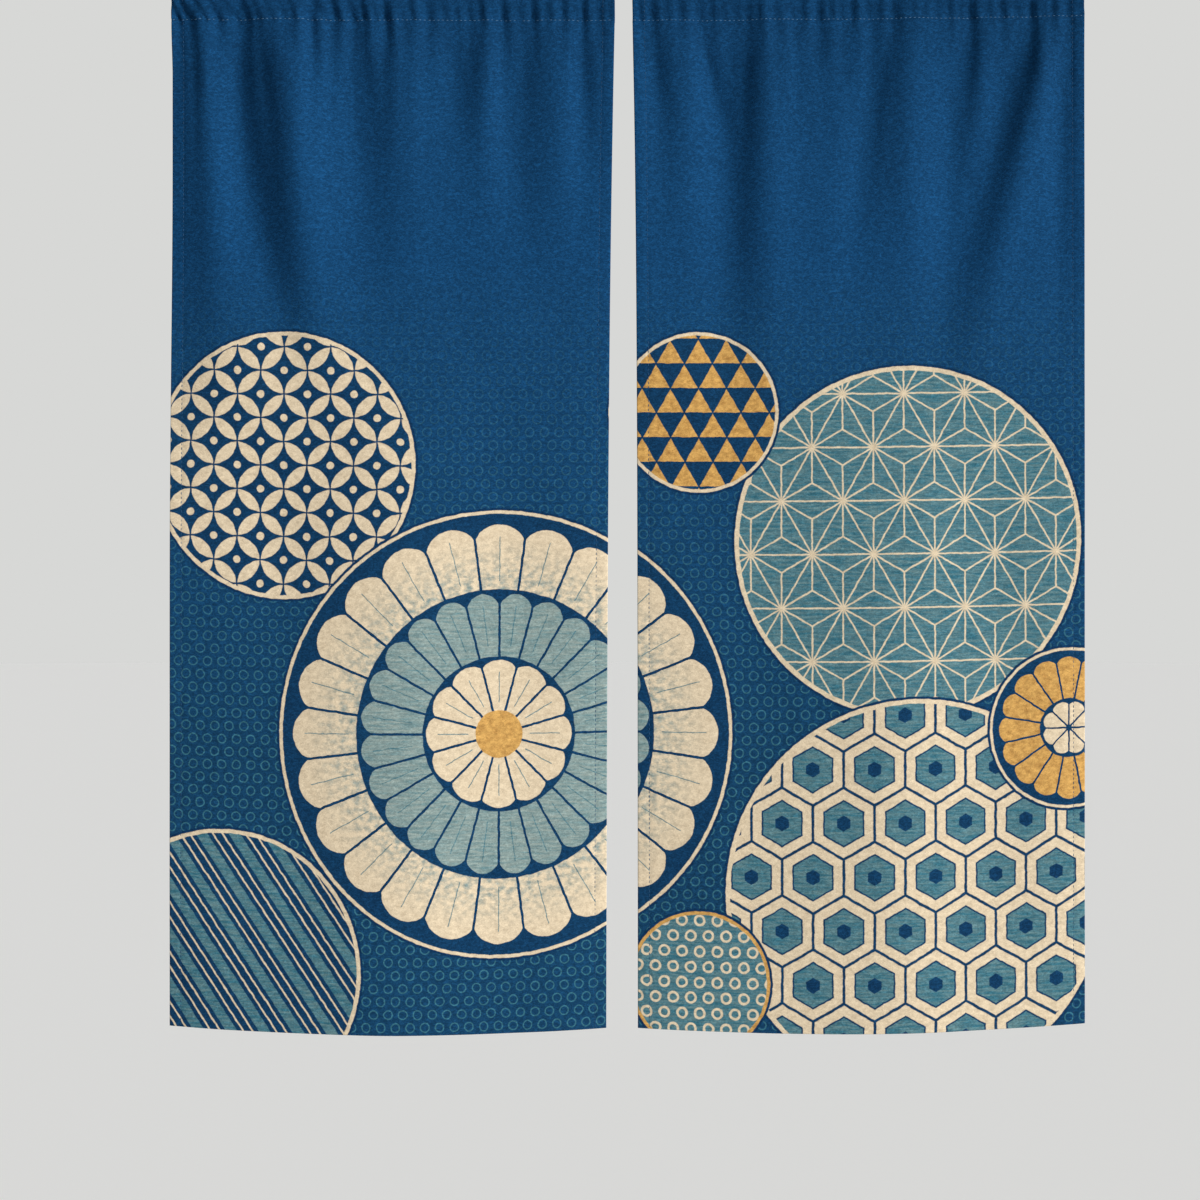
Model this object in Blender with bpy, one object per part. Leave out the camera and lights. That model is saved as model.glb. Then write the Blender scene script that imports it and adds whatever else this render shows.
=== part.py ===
"""A two-panel noren: a doorway curtain of printed cloth, gathered on a rod pocket at its top.

Metres, +Z up. The printed face looks towards -Y. The origin is the middle of the slit, at the height of
the top edge. In the real thing each panel is one cloth: its top is turned over to the back and sewn across
to make the pocket. Here the pocket is one solid and the cloth below its seam is another, so that the
pocket can stay open for a rod.
"""

import math
from collections import namedtuple

import bmesh
import bpy
import numpy as np

# The cloth and its hems
CLOTH = 0.0012  # thickness of the single cloth
HEM_CLOTH = 0.0020  # thickness where the edge is turned in twice
SIDE_HEM = 0.0110  # width of the side hems
FOOT_HEM = 0.0120  # height of the hem along the foot
HEM_STEP = 0.0010  # run over which the turned edge ends
DROP = 0.8510  # from the pocket's seam to the foot
SEAM_GAP = 0.0003  # between the pocket and the cloth below its seam
BLUE = (0.010, 0.066, 0.168, 1)

# The rod pocket
ROD_RADIUS = 0.0124  # inside of the pocket, where it lies over the rod
ROD_BELOW_TOP = 0.0155  # the rod's axis, below the top edge
SEAM_BELOW_ROD = 0.0290  # the seam, below the rod's axis, midway between the two ends
SEAM_ALLOWANCE = 0.0050  # height over which the layers are sewn flat
POCKET_ARC_STEPS = 8  # facets over the rod
MIDWAY = 0.45  # the point between the seam and the rod, as a share of the way

# How the seam runs: it sags towards the slit, and its right end is the higher
SEAM_SAG = 0.0030
SEAM_TILT = 0.0010
HALF_SPAN = 0.3890

# How finely the cloth is divided
INNER_COLUMNS = 56  # between the side hems, an even number
FINE_ROWS = (0.0, 0.008, 0.018, 0.032, 0.050, 0.074, 0.103, 0.137, 0.176, 0.220, 0.268)
COARSE_ROWS = (0.325, 0.390, 0.460, 0.530, 0.600, 0.670, 0.735, 0.790)

# A fold. at is its place along the seam, from the panel's left edge, and drift how far it moves to the
# right by its end, along a path that is straight with a bend of 1 and turns early below 1. half_width and
# depth are its size, with depth positive where the cloth goes back. It runs from begins to ends, measured
# down from the seam. The long shallow waves of the lower half begin below the seam and run past the foot.
Fold = namedtuple("Fold", "at drift bend half_width depth begins ends")

# A panel. The outer edge is straight, and the slit edge moves away from the middle by opens, most of it
# within reach. gathers is the number of small ripples along the seam, and ripple how deep they are at the
# left and the right end. lean is how much they slant above the seam, most of it at the left. bulge is how
# far the middle of the panel stands forward at the foot.
Panel = namedtuple(
    "Panel", "name left right left_opens right_opens reach gathers ripple lean bulge folds"
)

LEFT_FOLDS = (
    Fold(-0.006, 0.002, 1.0, 0.024, 0.0080, 0.00, 0.46),
    Fold(-0.010, 0.000, 1.0, 0.060, 0.0064, 0.00, 0.46),
    Fold(0.037, 0.004, 1.0, 0.012, -0.0026, 0.00, 0.40),
    Fold(0.053, 0.088, 2.1, 0.018, 0.0090, 0.00, 0.36),
    Fold(0.097, 0.036, 0.9, 0.019, -0.0102, 0.00, 0.38),
    Fold(0.119, 0.002, 1.0, 0.006, 0.0034, 0.00, 0.06),
    Fold(0.143, 0.032, 0.7, 0.017, 0.0055, 0.00, 0.29),
    Fold(0.184, 0.001, 1.0, 0.006, 0.0020, 0.00, 0.04),
    Fold(0.198, 0.006, 1.0, 0.016, -0.0040, 0.00, 0.24),
    Fold(0.239, 0.003, 1.0, 0.010, 0.0036, 0.00, 0.13),
    Fold(0.268, 0.001, 1.0, 0.012, -0.0040, 0.00, 0.19),
    Fold(0.283, 0.020, 0.9, 0.014, 0.0040, 0.00, 0.28),
    Fold(0.329, 0.006, 1.0, 0.013, -0.0036, 0.00, 0.25),
    Fold(0.348, 0.006, 1.0, 0.009, 0.0042, 0.00, 0.16),
    Fold(0.090, 0.020, 1.0, 0.042, 0.0036, 0.20, 1.40),
    Fold(0.185, -0.010, 1.0, 0.050, -0.0032, 0.25, 1.40),
    Fold(0.285, 0.015, 1.0, 0.040, 0.0030, 0.22, 1.40),
)

RIGHT_FOLDS = (
    Fold(0.000, 0.003, 1.0, 0.014, -0.0030, 0.00, 0.40),
    Fold(0.012, 0.016, 1.0, 0.009, 0.0024, 0.00, 0.14),
    Fold(0.041, 0.002, 1.0, 0.013, -0.0032, 0.00, 0.23),
    Fold(0.055, 0.022, 1.0, 0.008, 0.0056, 0.00, 0.12),
    Fold(0.078, -0.002, 1.0, 0.018, 0.0072, 0.00, 0.40),
    Fold(0.115, -0.003, 1.0, 0.018, -0.0055, 0.00, 0.37),
    Fold(0.155, 0.001, 1.0, 0.007, 0.0022, 0.00, 0.05),
    Fold(0.177, 0.000, 1.0, 0.007, 0.0026, 0.00, 0.08),
    Fold(0.205, -0.030, 1.0, 0.012, 0.0037, 0.00, 0.30),
    Fold(0.234, -0.004, 1.0, 0.014, -0.0046, 0.00, 0.27),
    Fold(0.280, -0.028, 1.0, 0.014, 0.0060, 0.00, 0.32),
    Fold(0.302, -0.032, 1.0, 0.009, -0.0010, 0.00, 0.13),
    Fold(0.332, -0.088, 1.0, 0.015, 0.0050, 0.00, 0.34),
    Fold(0.356, -0.078, 1.0, 0.015, -0.0061, 0.00, 0.34),
    Fold(0.361, 0.000, 1.0, 0.009, 0.0036, 0.00, 0.34),
    Fold(0.110, -0.020, 1.0, 0.045, 0.0032, 0.24, 1.40),
    Fold(0.215, 0.012, 1.0, 0.048, -0.0030, 0.22, 1.40),
    Fold(0.305, -0.015, 1.0, 0.040, 0.0032, 0.25, 1.40),
)

PANELS = (
    Panel(
        "left", -0.3830, -0.0075, -0.0006, -0.0077, 0.33, 16, (0.0018, 0.0010), 24.0, 0.016, LEFT_FOLDS
    ),
    Panel(
        "right", 0.0074, 0.3891, 0.0046, 0.0004, 0.20, 16, (0.0008, 0.0010), 3.0, 0.015, RIGHT_FOLDS
    ),
)

# How the folds come and go
AT_SEAM = 0.5  # the share of its depth that a fold has at the seam
SWELL = 0.045  # it reaches its full depth this far below the seam
WAVE_SWELL = 0.26  # and a long wave over this length
FADE_FROM = 0.25  # the share of its length after which a fold fades
SPREAD = 0.5  # how much wider it is at its end than at the seam
RIPPLE_FADE = 0.040  # the small ripples die away over this length below the seam
FOOT_CURVE = 0.0042  # how much lower the foot hangs at the middle of a panel

# How uneven the ripples are: (share of a ripple by which they run early or late, waves of that, its phase)
UNEVEN_RIPPLES = ((0.30, 2, 1.0), (0.18, 5, 2.1))

# How the pocket's own ripples swell above the flat seam, and half fade over the rod
RIPPLE_SWELL = 0.012
OVER_ROD = 0.020
OVER_ROD_FADE = 0.5
POCKET_FULLNESS = 0.75  # their depth as a multiple of the ripples' below the seam


def smooth(t):
    """0 below 0, 1 above 1, and an even S between them."""
    t = np.clip(t, 0, 1)
    return t * t * (3 - 2 * t)


def seam_height(x):
    """Height of the pocket's seam at x. The rod is straight and level, and the seam isn't."""
    share = np.asarray(x) / HALF_SPAN
    return SEAM_TILT * share - SEAM_SAG * (1 - share**2) - ROD_BELOW_TOP - SEAM_BELOW_ROD


def edges(panel, down):
    """The panel's left and right edge, this far below its seam."""
    opened = 1 - np.exp(-down / panel.reach)
    return panel.left + panel.left_opens * opened, panel.right + panel.right_opens * opened


def ripples(panel, across, height=0.0):
    """The small uneven ripples along the seam, from -1 to 1. Above the seam, at height, they lean over."""
    share = across / (panel.right - panel.left)
    turns = panel.gathers * share + panel.lean * (1 - share) ** 2 * height
    for early, waves, phase in UNEVEN_RIPPLES:
        turns = turns + early * np.sin(2 * math.pi * waves * share + phase)
    return np.sin(2 * math.pi * turns)


def ripple_depth(panel, across):
    """Half the height of the ripples along the seam, from the panel's left end to its right."""
    first, last = panel.ripple
    return first + (last - first) * across / (panel.right - panel.left)


def fold_depth(fold, across, down):
    """How far one fold carries the cloth back: a bell across it, which swells and then fades downwards."""
    length = fold.ends - fold.begins
    run = np.clip((down - fold.begins) / length, 0, 1)
    middle = fold.at + fold.drift * run**fold.bend
    width = fold.half_width * (1 + SPREAD * run)
    if fold.begins > 0:
        swell = smooth((down - fold.begins) / WAVE_SWELL)
    else:
        swell = AT_SEAM + (1 - AT_SEAM) * smooth(down / SWELL)
    fade = 1 - smooth((run - FADE_FROM) / (1 - FADE_FROM))
    return fold.depth * swell * fade * np.exp(-(((across - middle) / width) ** 2))


def cloth_depth(panel, across, down):
    """y of the cloth. across is measured from the panel's left edge, and down from its seam."""
    y = sum(fold_depth(fold, across, down) for fold in panel.folds)
    y = y - ripple_depth(panel, across) * ripples(panel, across) * np.exp(-down / RIPPLE_FADE)
    share = across / (panel.right - panel.left)
    return y - panel.bulge * smooth(down / DROP) * (1 - (2 * share - 1) ** 2)


def column_places(panel):
    """Where the columns stand across the panel, with the step of each side hem between two of them."""
    width = panel.right - panel.left
    hem = [0, SIDE_HEM / 2, SIDE_HEM, SIDE_HEM + HEM_STEP]
    inner = np.linspace(hem[-1], width - hem[-1], INNER_COLUMNS + 1)[1:-1]
    return np.array([*hem, *inner, *(width - np.array(hem[::-1]))])


def coarse_columns(count):
    """The columns that go on below the fine rows: the hems' own, and every second one between them."""
    last = count - 1
    return [0, 2, *range(3, last - 2, 2), last - 2, last]


def row_points(panel, places, down):
    """The row of the cloth's front face that lies this far below the seam."""
    left, right = edges(panel, down)
    share = places / (panel.right - panel.left)
    x = left + (right - left) * share
    y = cloth_depth(panel, places, down) - CLOTH / 2
    sag = FOOT_CURVE * (down / DROP) ** 2 * (1 - (2 * share - 1) ** 2)
    z = seam_height(x) - SEAM_GAP - down * (1 - 0.5 * FOOT_CURVE / DROP) - sag
    return np.stack([x, y, z], axis=1)


def add_strip(bm, upper, lower, columns):
    """Faces between two rows. lower has vertices only at the given columns of upper, or of itself."""
    for first, last in zip(columns, columns[1:]):
        above = [upper[i] for i in range(first, last + 1) if i in upper]
        bm.faces.new([*above, lower[last], lower[first]][::-1])


def cloth_material(name):
    """Deep blue woven cloth: matt, with no metal."""
    material = bpy.data.materials.new(name)
    material.use_nodes = True
    shader = material.node_tree.nodes["Principled BSDF"]
    shader.inputs["Base Color"].default_value = BLUE
    shader.inputs["Roughness"].default_value = 0.85
    shader.inputs["Metallic"].default_value = 0
    return material


def add_object(name, bm):
    """A named object from the bmesh, smooth but for its folded edges, with its own cloth."""
    mesh = bpy.data.meshes.new(name)
    bm.to_mesh(mesh)
    bm.free()
    mesh.shade_smooth()
    mesh.set_sharp_from_angle(angle=math.radians(50))
    mesh.materials.append(cloth_material(name + "_cloth"))
    made = bpy.data.objects.new(name, mesh)
    bpy.context.scene.collection.objects.link(made)
    return made


def make_panel(panel):
    """The cloth below the seam: its folded front face, thickened to the back, and more so at the hems."""
    places = column_places(panel)
    all_columns = list(range(len(places)))
    few_columns = coarse_columns(len(places))
    foot_rows = (DROP - FOOT_HEM - HEM_STEP, DROP - FOOT_HEM, DROP)
    bm = bmesh.new()
    layers = bm.verts.layers.deform.verify()
    above = None
    for down in (*FINE_ROWS, *COARSE_ROWS, *foot_rows):
        columns = all_columns if down in FINE_ROWS else few_columns
        points = row_points(panel, places, down)
        row = {i: bm.verts.new(points[i]) for i in columns}
        for i, vert in row.items():
            hemmed = i <= 2 or i >= len(places) - 3 or down >= DROP - FOOT_HEM
            vert[layers][0] = 1 if hemmed else CLOTH / HEM_CLOTH
        if above:
            add_strip(bm, above, row, columns)
        above = row
    made = add_object("panel_" + panel.name, bm)
    made.vertex_groups.new(name="layers")
    solidify = made.modifiers.new("thickness", "SOLIDIFY")
    solidify.thickness = HEM_CLOTH
    solidify.offset = -1
    solidify.vertex_group = "layers"
    return made


def pocket_section(below):
    """The cloth's middle line round the pocket, whose seam lies this far below the rod's axis.

    It rises from the seam in front, straight to where it meets the rod, goes over the rod as an arc, and
    comes down behind. A row for each point gives its y, its height over the seam, and the direction out
    of the pocket there, in y and in height.
    """
    middle_radius = ROD_RADIUS + CLOTH / 2
    lean = math.asin(middle_radius / below)
    straight = math.sqrt(below**2 - middle_radius**2)
    front = [
        (-rise * math.sin(lean), rise * math.cos(lean), -math.cos(lean), -math.sin(lean))
        for rise in (0, MIDWAY * straight)
    ]
    turns = np.linspace(-lean, math.pi + lean, POCKET_ARC_STEPS + 1)
    over = [
        (
            -middle_radius * math.cos(turn),
            below + middle_radius * math.sin(turn),
            -math.cos(turn),
            math.sin(turn),
        )
        for turn in turns
    ]
    back = [(-y, height, -out_y, out_height) for y, height, out_y, out_height in front[::-1]]
    return np.array(front + over + back)


def pocket_rings(panel, across, x, hemmed):
    """The outer and the inner ring of the pocket at one place along it."""
    base = seam_height(x)
    below = -ROD_BELOW_TOP - base
    y, height, out_y, out_height = pocket_section(below).T
    behind = y > 0
    wave = ripples(panel, across, height)
    fullness = np.where(behind, 1 - wave, 1 + wave) / 2
    slack = smooth(height / RIPPLE_SWELL) * (1 - OVER_ROD_FADE * smooth((height - RIPPLE_SWELL) / OVER_ROD))
    swell = POCKET_FULLNESS * ripple_depth(panel, across) * slack * fullness
    carried = cloth_depth(panel, across, 0.0) * (1 - smooth(height / below))
    thickness = HEM_CLOTH if hemmed else CLOTH

    def ring(offset):
        return np.stack(
            [
                np.full_like(y, x),
                y + carried + out_y * (swell + offset),
                base + height + out_height * (swell + offset),
            ],
            axis=1,
        )

    outer = ring(CLOTH / 2)
    inner = ring(CLOTH / 2 - thickness)
    # At the seam the layers lie flat on each other: the outside ends square, and the inside starts higher.
    for end, side in ((0, -1), (-1, 1)):
        outer[end] = (x, carried[end] + side * CLOTH, base)
        inner[end] = (x, carried[end] + side * CLOTH / 2, base + SEAM_ALLOWANCE)
    return outer, inner


def join_rings(bm, near, far):
    """A band of faces from one ring of vertices to the next."""
    for k in range(len(near)):
        bm.faces.new((near[k - 1], near[k], far[k], far[k - 1]))


def make_pocket(panel):
    """The rod pocket: a rippled tube, open at both ends, with a drop-shaped section."""
    places = column_places(panel)
    bm = bmesh.new()
    before = None
    last = len(places) - 1
    for i, across in enumerate(places):
        rings = pocket_rings(panel, across, panel.left + across, i <= 2 or i >= last - 2)
        outer, inner = ([bm.verts.new(point) for point in ring] for ring in rings)
        if before:
            join_rings(bm, before[0], outer)
            join_rings(bm, inner, before[1])
        if i == 0:
            join_rings(bm, inner, outer)
        if i == last:
            join_rings(bm, outer, inner)
        before = (outer, inner)
    bmesh.ops.recalc_face_normals(bm, faces=bm.faces)
    return add_object("pocket_" + panel.name, bm)


def main():
    for obj in list(bpy.data.objects):
        bpy.data.objects.remove(obj)
    for panel in PANELS:
        make_pocket(panel)
        make_panel(panel)


main()
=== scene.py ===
"""The noren's looks: each panel as one fine hung cloth, its stitching, its weave and its print.

Metres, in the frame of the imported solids: +Z up, +X to the right, the printed face towards -Y, and the
origin in the middle of the slit at the height of the top edge. The places of the folds, hems and pocket
repeat the solids' own.
"""

import math
from collections import namedtuple

import bpy
import numpy as np
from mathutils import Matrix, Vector


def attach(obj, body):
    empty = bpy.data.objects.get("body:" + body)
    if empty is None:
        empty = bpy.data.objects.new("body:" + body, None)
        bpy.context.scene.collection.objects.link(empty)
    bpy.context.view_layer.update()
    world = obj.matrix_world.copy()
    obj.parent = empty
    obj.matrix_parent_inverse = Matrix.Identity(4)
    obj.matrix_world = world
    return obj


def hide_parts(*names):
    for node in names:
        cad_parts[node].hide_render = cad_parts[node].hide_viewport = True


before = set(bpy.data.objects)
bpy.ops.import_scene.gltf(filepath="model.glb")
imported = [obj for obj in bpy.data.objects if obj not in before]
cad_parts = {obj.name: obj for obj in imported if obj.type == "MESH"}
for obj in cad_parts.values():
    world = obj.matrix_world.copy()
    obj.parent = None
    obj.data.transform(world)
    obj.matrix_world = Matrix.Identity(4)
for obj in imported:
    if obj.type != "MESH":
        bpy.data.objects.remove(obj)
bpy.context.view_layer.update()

# The cloth and its hems
CLOTH = 0.0007  # thickness of the single cloth, all sizes in metres
SIDE_HEM = 0.0110  # width of the side hems
FOOT_HEM = 0.0120  # height of the hem along the foot
HEM_FOLD = 0.0009  # how much the turned edge adds to the back
HEM_STEP = 0.0007  # run over which the turned edge ends
EDGE_ROUND = 0.0008  # reach of the rounding at a folded edge
RIM_SHARES = (0.0, 0.05, 0.2, 0.45, 0.75)  # places of the grid's lines across that rounding
DROP = 0.8510  # from the pocket's seam to the foot

# The rod pocket
ROD_RADIUS = 0.0124  # of the rod that the pocket is shaped for
ROD_BELOW_TOP = 0.0155  # its axis, below the origin
SEAM_BELOW_ROD = 0.0290  # the seam's mean height below the axis
SEAM_FLAT = 0.0030  # height over which the pocket's two layers lie flat on each other
SEAM_OPENS = 0.0110  # and the further height by which they have parted
SEAM_SAG = 0.0030  # how much lower the seam is at the slit than at the outer edges
SEAM_TILT = 0.0010  # how much higher it is at the right edge than at the slit
HALF_SPAN = 0.3890  # from the slit's middle to an outer edge

# The fold and panel tables of the solids. A fold is at its place from the panel's left edge, and begins and
# ends below the seam. Its depth is positive where the cloth goes back.
Fold = namedtuple("Fold", "at drift bend half_width depth begins ends")
Panel = namedtuple(
    "Panel", "name left right left_opens right_opens reach gathers ripple lean bulge folds creases"
)

LEFT_FOLDS = (
    Fold(-0.006, 0.002, 1.0, 0.024, 0.0080, 0.00, 0.46),
    Fold(-0.010, 0.000, 1.0, 0.060, 0.0064, 0.00, 0.46),
    Fold(0.037, 0.004, 1.0, 0.012, -0.0026, 0.00, 0.40),
    Fold(0.053, 0.088, 2.1, 0.018, 0.0090, 0.00, 0.36),
    Fold(0.097, 0.036, 0.9, 0.019, -0.0102, 0.00, 0.38),
    Fold(0.119, 0.002, 1.0, 0.006, 0.0034, 0.00, 0.06),
    Fold(0.143, 0.032, 0.7, 0.017, 0.0055, 0.00, 0.29),
    Fold(0.184, 0.001, 1.0, 0.006, 0.0020, 0.00, 0.04),
    Fold(0.198, 0.006, 1.0, 0.016, -0.0040, 0.00, 0.24),
    Fold(0.239, 0.003, 1.0, 0.010, 0.0036, 0.00, 0.13),
    Fold(0.268, 0.001, 1.0, 0.012, -0.0040, 0.00, 0.19),
    Fold(0.283, 0.020, 0.9, 0.014, 0.0040, 0.00, 0.28),
    Fold(0.329, 0.006, 1.0, 0.013, -0.0036, 0.00, 0.25),
    Fold(0.348, 0.006, 1.0, 0.009, 0.0042, 0.00, 0.16),
    Fold(0.090, 0.020, 1.0, 0.042, 0.0036, 0.20, 1.40),
    Fold(0.185, -0.010, 1.0, 0.050, -0.0032, 0.25, 1.40),
    Fold(0.285, 0.015, 1.0, 0.040, 0.0030, 0.22, 1.40),
)

RIGHT_FOLDS = (
    Fold(0.000, 0.003, 1.0, 0.014, -0.0030, 0.00, 0.40),
    Fold(0.012, 0.016, 1.0, 0.009, 0.0024, 0.00, 0.14),
    Fold(0.041, 0.002, 1.0, 0.013, -0.0032, 0.00, 0.23),
    Fold(0.055, 0.022, 1.0, 0.008, 0.0056, 0.00, 0.12),
    Fold(0.078, -0.002, 1.0, 0.018, 0.0072, 0.00, 0.40),
    Fold(0.115, -0.003, 1.0, 0.018, -0.0055, 0.00, 0.37),
    Fold(0.155, 0.001, 1.0, 0.007, 0.0022, 0.00, 0.05),
    Fold(0.177, 0.000, 1.0, 0.007, 0.0026, 0.00, 0.08),
    Fold(0.205, -0.030, 1.0, 0.012, 0.0037, 0.00, 0.30),
    Fold(0.234, -0.004, 1.0, 0.014, -0.0046, 0.00, 0.27),
    Fold(0.280, -0.028, 1.0, 0.014, 0.0060, 0.00, 0.32),
    Fold(0.302, -0.032, 1.0, 0.009, -0.0010, 0.00, 0.13),
    Fold(0.332, -0.088, 1.0, 0.015, 0.0050, 0.00, 0.34),
    Fold(0.356, -0.078, 1.0, 0.015, -0.0061, 0.00, 0.34),
    Fold(0.361, 0.000, 1.0, 0.009, 0.0036, 0.00, 0.34),
    Fold(0.110, -0.020, 1.0, 0.045, 0.0032, 0.24, 1.40),
    Fold(0.215, 0.012, 1.0, 0.048, -0.0030, 0.22, 1.40),
    Fold(0.305, -0.015, 1.0, 0.040, 0.0032, 0.25, 1.40),
)

# Fine creases, too small for the solids, by the same columns
LEFT_CREASES = (
    Fold(0.019, 0.002, 1.0, 0.0035, 0.0011, 0.00, 0.16),
    Fold(0.028, 0.003, 1.0, 0.0040, -0.0010, 0.00, 0.10),
    Fold(0.047, 0.010, 1.0, 0.0045, 0.0012, 0.00, 0.09),
    Fold(0.073, 0.020, 0.9, 0.0050, 0.0014, 0.00, 0.15),
    Fold(0.088, 0.006, 1.0, 0.0035, -0.0009, 0.00, 0.05),
    Fold(0.101, 0.012, 1.0, 0.0040, 0.0010, 0.00, 0.07),
    Fold(0.141, 0.006, 1.0, 0.0035, -0.0010, 0.00, 0.06),
    Fold(0.161, 0.014, 0.9, 0.0050, 0.0012, 0.00, 0.12),
    Fold(0.207, 0.002, 1.0, 0.0035, 0.0008, 0.00, 0.05),
    Fold(0.224, 0.001, 1.0, 0.0040, -0.0008, 0.00, 0.06),
    Fold(0.252, 0.004, 1.0, 0.0040, 0.0009, 0.00, 0.07),
    Fold(0.296, 0.010, 1.0, 0.0050, 0.0010, 0.00, 0.11),
    Fold(0.313, 0.003, 1.0, 0.0035, -0.0008, 0.00, 0.05),
    Fold(0.338, 0.003, 1.0, 0.0040, 0.0009, 0.00, 0.07),
    Fold(0.360, 0.001, 1.0, 0.0035, -0.0008, 0.00, 0.12),
)

RIGHT_CREASES = (
    Fold(0.018, 0.004, 1.0, 0.0035, 0.0009, 0.00, 0.09),
    Fold(0.033, 0.001, 1.0, 0.0040, -0.0008, 0.00, 0.06),
    Fold(0.074, 0.003, 1.0, 0.0045, -0.0009, 0.00, 0.06),
    Fold(0.096, -0.003, 1.0, 0.0050, 0.0012, 0.00, 0.14),
    Fold(0.113, -0.002, 1.0, 0.0035, -0.0007, 0.00, 0.04),
    Fold(0.137, -0.002, 1.0, 0.0035, 0.0006, 0.00, 0.04),
    Fold(0.168, 0.000, 1.0, 0.0035, -0.0007, 0.00, 0.05),
    Fold(0.195, -0.004, 1.0, 0.0040, 0.0007, 0.00, 0.05),
    Fold(0.217, -0.016, 1.0, 0.0045, 0.0011, 0.00, 0.12),
    Fold(0.258, -0.002, 1.0, 0.0035, 0.0007, 0.00, 0.05),
    Fold(0.290, -0.012, 1.0, 0.0045, 0.0006, 0.00, 0.11),
    Fold(0.321, -0.012, 1.0, 0.0040, -0.0008, 0.00, 0.07),
    Fold(0.343, -0.036, 1.0, 0.0050, 0.0009, 0.00, 0.15),
    Fold(0.371, -0.001, 1.0, 0.0035, 0.0008, 0.00, 0.10),
)

PANELS = (
    Panel(
        "left", -0.3830, -0.0075, -0.0006, -0.0077, 0.33, 16, (0.0018, 0.0010), 24.0, 0.016,
        LEFT_FOLDS, LEFT_CREASES,
    ),
    Panel(
        "right", 0.0074, 0.3891, 0.0046, 0.0004, 0.20, 16, (0.0008, 0.0010), 3.0, 0.015,
        RIGHT_FOLDS, RIGHT_CREASES,
    ),
)

# How the folds come and go
AT_SEAM = 0.5  # share of its depth that a fold has at the seam
SWELL = 0.045  # run below the seam over which it reaches its full depth
WAVE_SWELL = 0.26  # the same run for the long waves that begin lower down
FADE_FROM = 0.25  # share of its run after which a fold fades
SPREAD = 0.5  # how much wider it has become at the end of its run
FOOT_CURVE = 0.0042  # how far the middle of the foot hangs below its corners

# The ripples of the gathered seam: (turns early or late, waves along a panel, phase), and where they fade
UNEVEN_RIPPLES = ((0.30, 2, 1.0), (0.18, 5, 2.1))
RIPPLE_FADE = 0.040  # below the seam
RIPPLE_SWELL = 0.012  # height over the seam by which the pocket's ripples are full
OVER_ROD = 0.020  # the further height over which the rod stretches them
OVER_ROD_FADE = 0.5  # and the share that it takes away
POCKET_FULLNESS = 0.75  # share of a ripple's depth that the pocket has

# The finest gathers at the seam, too small for the solids: how many there are, how deep they are at each
# panel's left and right end, how far they lean at its left end, what is left of them below the seam, and
# the heights over which they fade
FINE_GATHERS = 34
FINE_DEPTHS = {"left": (0.0018, 0.0010), "right": (0.0009, 0.0010)}
FINE_LEAN = {"left": 52.0, "right": 14.0}
FINE_BELOW = 0.45
FINE_FADES = (0.032, 0.012)
FINE_RISE = 0.004  # height over the seam by which they are full
FINE_UNEVEN = ((0.22, 4.3), (0.10, 11.0))  # (turns early or late, waves along a panel)
FINE_SWING = (0.75, 0.25, 2.6, 0.8)  # their depth's mean and swing, its waves along a panel, and its phase
DRAWN_TOGETHER = 0.004  # share by which the pocket over the rod is narrower, all of it at its outer end

# What is left uneven in cloth that was never pressed quite flat: the heights of three crossed waves, and the
# lengths of each, as (metres a radian, how many radians it wanders, metres a radian of the wandering)
SOFT_HEIGHTS = (0.00034, 0.00016, 0.00010)
SOFT_LONG = (0.021, 2.0, 0.190)
SOFT_SHORT = (0.0115, 1.3, 0.061)
SOFT_LEVEL = (0.034, 2.2, 0.071)
SOFT_SLANT = 0.085  # metres down a radian by which the short wave leans
SOFT_START = {"left": 1.7, "right": 4.3}  # radians by which each panel's waves are shifted
SOFT_SWELL = 0.030  # run below the seam over which they swell

# Sewing: where the lines run, and how the thread draws the cloth in
POCKET_LINE = 0.0022  # the pocket's stitching, above the seam
SIDE_LINE = 0.0100  # the side hems' stitching, in from the edge
STITCH_PITCH = 0.0038
STITCH_LENGTH = 0.0025
FIRST_STITCH = 0.0022  # from the left edge of the pocket
HEM_STITCH_ENDS = (0.006, 0.004)  # how far they stay from the pocket's own end, and behind from the seam
THREAD_RADIUS = 0.00028
HEM_THREAD_RADIUS = 0.00020
DRAWN_IN = 0.00042
DRAWN_WIDTH = 0.0016
STITCH_BEAT = 0.25  # share of that depth that comes and goes with each stitch
SIDE_PULL = 0.7  # how hard the side hems' thread pulls, beside the pocket's
PULL_BEHIND = 0.5  # how much of the trough shows on the back of a hem

# One stitch, in thread radii: how high its middle stands, how deep the tightest and the ends sink, and the
# radius that is left at its ends. The power makes tight stitches rarer than loose ones.
STITCH_STANDS = 0.8
TIGHTEST_SINKS = 1.3
TIGHTNESS_POWER = 1.5
ENDS_SINK = 1.2
BLUNT_END = 0.05
RINGS_A_STITCH = 6
RING_SIDES = 6  # the ends' faces are made for six

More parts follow.
